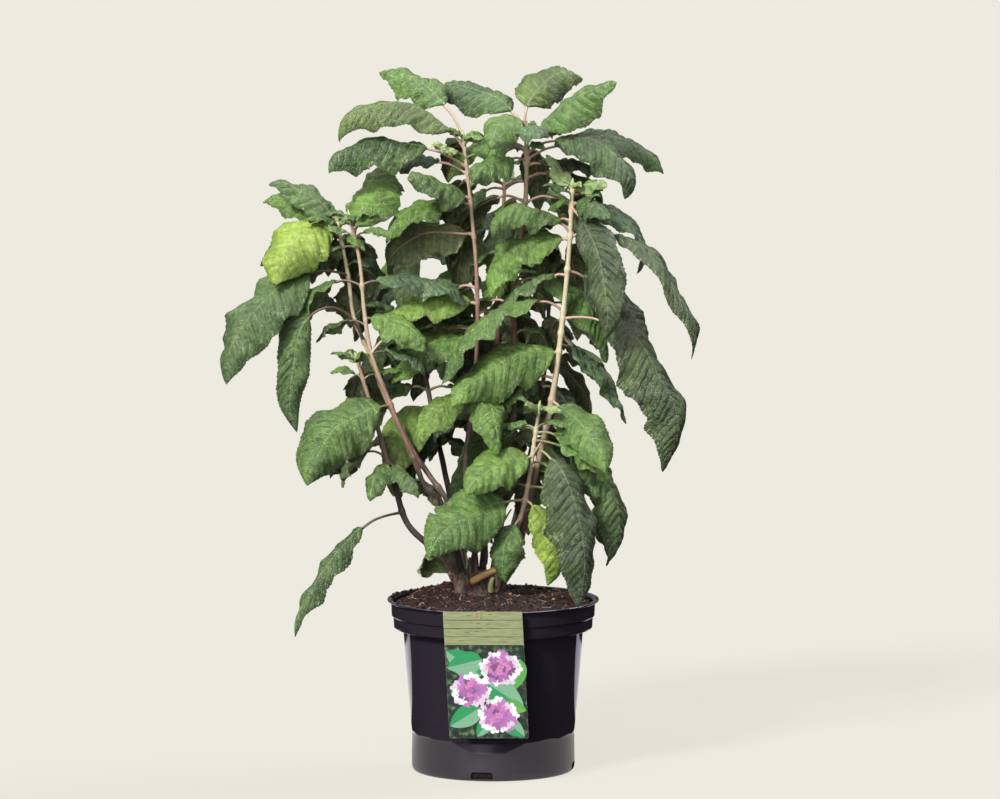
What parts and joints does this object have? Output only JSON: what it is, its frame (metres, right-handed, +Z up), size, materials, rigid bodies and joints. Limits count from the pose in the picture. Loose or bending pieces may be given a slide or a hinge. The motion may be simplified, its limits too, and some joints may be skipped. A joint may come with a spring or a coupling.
{
  "type": "potted hydrangea shrub",
  "caption": "Leafy hydrangea shrub whose canes rise from a woody crown in a dark plastic nursery pot with a hang card, for a garden, terrace or nursery bench.",
  "frame": {"origin": "centre of the pot's flat underside, on the surface that the pot stands on", "axes": "+Z up; -Y to the front, where the card hangs and the low leaves show; +X to the right as seen from the front"},
  "size_m": [0.6409, 0.4126, 0.9328],
  "materials": {
    "pot_plastic": "smooth, glossy, near black with a blue cast",
    "compost": "crumbly, matte, dark brown",
    "card": "printed card, satin",
    "bark": "rough, fissured, reddish brown",
    "cane": "thin peeling bark, tan to reddish brown",
    "leaf": "soft, veined, slightly glossy above and matte below"
  },
  "bodies": {
    "root": {"pot": "pot_plastic", "soil": "compost", "label": "card", "woody_crown": "bark", "cane_left_old": "cane", "cane_left_low": "cane", "cane_left_front": "cane", "cane_left_outer": "cane", "cane_centre_left": "cane", "cane_centre": "cane", "cane_right": "cane", "cane_low_right": "cane", "cane_back_left": "cane", "cane_back": "cane", "cane_back_right": "cane", "foliage_left_outer": "leaf", "foliage_left_front": "leaf", "foliage_left_low": "leaf", "foliage_centre_left": "leaf", "foliage_centre": "leaf", "foliage_right": "leaf", "foliage_low_right": "leaf", "foliage_back_left": "leaf", "foliage_back": "leaf", "foliage_back_right": "leaf"}
  },
  "joints": []
}
